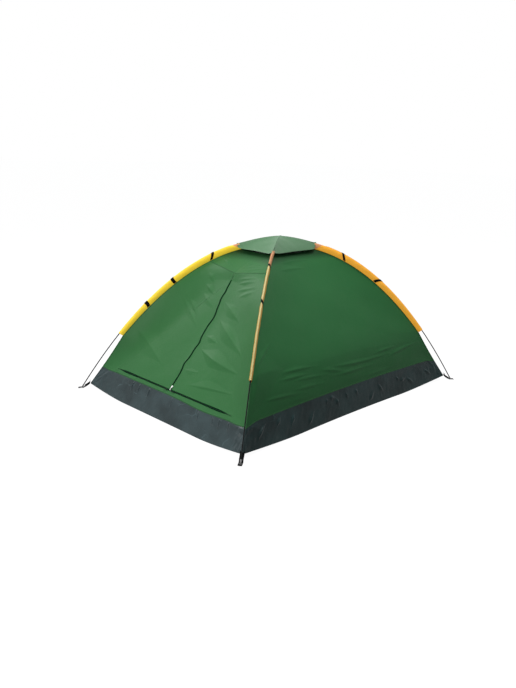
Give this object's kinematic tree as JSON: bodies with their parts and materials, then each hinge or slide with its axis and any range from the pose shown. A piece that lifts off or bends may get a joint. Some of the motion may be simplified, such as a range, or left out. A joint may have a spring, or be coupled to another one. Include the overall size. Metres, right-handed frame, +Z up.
{
  "type": "camping tent",
  "caption": "Low dome tent with crossed shock-corded poles in sleeves, a tub floor, a vent cap over a roof net and a zipped inverted-T door that opens in two flaps.",
  "frame": {"origin": "on the ground under the crossing of the poles, in the middle of the floor", "axes": "+Z up; the door faces -Y; +Y along the long side towards the back wall; +X to the right of someone who looks at the tent's back from the door"},
  "size_m": [1.6184, 2.1986, 1.05],
  "materials": {
    "green_fabric": "matte",
    "floor_sheet": "satin",
    "orange_fabric": "matte",
    "webbing": "matte",
    "net": "matte",
    "zip_tape": "satin",
    "metal": "satin",
    "pole_rod": "satin",
    "elastic": "matte"
  },
  "bodies": {
    "tent": {"back_wall": "green_fabric", "corner_strap_front_left": "webbing", "corner_strap_front_right": "webbing", "corner_strap_rear_left": "webbing", "corner_strap_rear_right": "webbing", "eyelet_front_left": "metal", "eyelet_front_right": "metal", "eyelet_rear_left": "metal", "eyelet_rear_right": "metal", "front_roof_panel": "green_fabric", "front_wall": "green_fabric", "left_wall": "green_fabric", "pole_a_section_1": "pole_rod", "pole_a_section_2": "pole_rod", "pole_a_section_3": "pole_rod", "pole_a_section_4": "pole_rod", "pole_a_section_5": "pole_rod", "pole_a_section_6": "pole_rod", "pole_a_shock_cord": "elastic", "pole_b_section_1": "pole_rod", "pole_b_section_2": "pole_rod", "pole_b_section_3": "pole_rod", "pole_b_section_4": "pole_rod", "pole_b_section_5": "pole_rod", "pole_b_section_6": "pole_rod", "pole_b_shock_cord": "elastic", "pole_sleeve_front_left": "orange_fabric", "pole_sleeve_front_right": "orange_fabric", "pole_sleeve_rear_left": "orange_fabric", "pole_sleeve_rear_right": "orange_fabric", "pole_tip_front_left": "metal", "pole_tip_front_right": "metal", "pole_tip_rear_left": "metal", "pole_tip_rear_right": "metal", "right_wall": "green_fabric", "roof_vent_net": "net", "sill_zip": "zip_tape", "sleeve_band_front_left_1": "webbing", "sleeve_band_front_left_2": "webbing", "sleeve_band_front_left_3": "webbing", "sleeve_band_front_right_1": "webbing", "sleeve_band_front_right_2": "webbing", "sleeve_band_rear_left_1": "webbing", "sleeve_band_rear_left_2": "webbing", "sleeve_band_rear_right_1": "webbing", "sleeve_band_rear_right_2": "webbing", "tub_floor": "floor_sheet", "vent_cap": "green_fabric"},
    "left_flap": {"door_flap_left": "green_fabric", "door_zip_left": "zip_tape"},
    "right_flap": {"door_flap_right": "green_fabric", "door_zip_right": "zip_tape"},
    "upright_slider": {"upright_zip_slider": "metal"},
    "upright_tab": {"upright_zip_pull_tab": "metal"},
    "left_hem_slider": {"hem_zip_left_slider": "metal"},
    "left_hem_tab": {"hem_zip_left_pull_tab": "metal"},
    "right_hem_slider": {"hem_zip_right_slider": "metal"},
    "right_hem_tab": {"hem_zip_right_pull_tab": "metal"}
  },
  "joints": [
    {"name": "left_flap_hinge", "type": "hinge", "parent": "tent", "child": "left_flap", "pos_m": [0, -0.42902, 0.79657], "axis": [-0.5693, -0.5126, -0.6427], "range_deg": [0, 120]},
    {"name": "right_flap_hinge", "type": "hinge", "parent": "tent", "child": "right_flap", "pos_m": [0, -0.42902, 0.79657], "axis": [-0.5693, 0.5126, 0.6427], "range_deg": [0, 120]},
    {"name": "upright_zip_slide", "type": "slide", "parent": "right_flap", "child": "upright_slider", "axis": [0, 0.6235, 0.7818], "range_m": [0, 0.724]},
    {"name": "upright_tab_hinge", "type": "hinge", "parent": "upright_slider", "child": "upright_tab", "pos_m": [0.0047, -0.91865, 0.19266], "axis": [-1, 0, 0], "range_deg": [0, 150]},
    {"name": "left_hem_slide", "type": "slide", "parent": "tent", "child": "left_hem_slider", "axis": [-1, 0, 0], "range_m": [0, 0.491]},
    {"name": "left_hem_tab_hinge", "type": "hinge", "parent": "left_hem_slider", "child": "left_hem_tab", "pos_m": [-0.026, -0.93645, 0.17034], "axis": [0, 0.6235, 0.7818], "range_deg": [0, 150]},
    {"name": "right_hem_slide", "type": "slide", "parent": "tent", "child": "right_hem_slider", "axis": [1, 0, 0], "range_m": [0, 0.491]},
    {"name": "right_hem_tab_hinge", "type": "hinge", "parent": "right_hem_slider", "child": "right_hem_tab", "pos_m": [0.026, -0.93645, 0.17034], "axis": [0, -0.6235, -0.7818], "range_deg": [0, 150]}
  ]
}
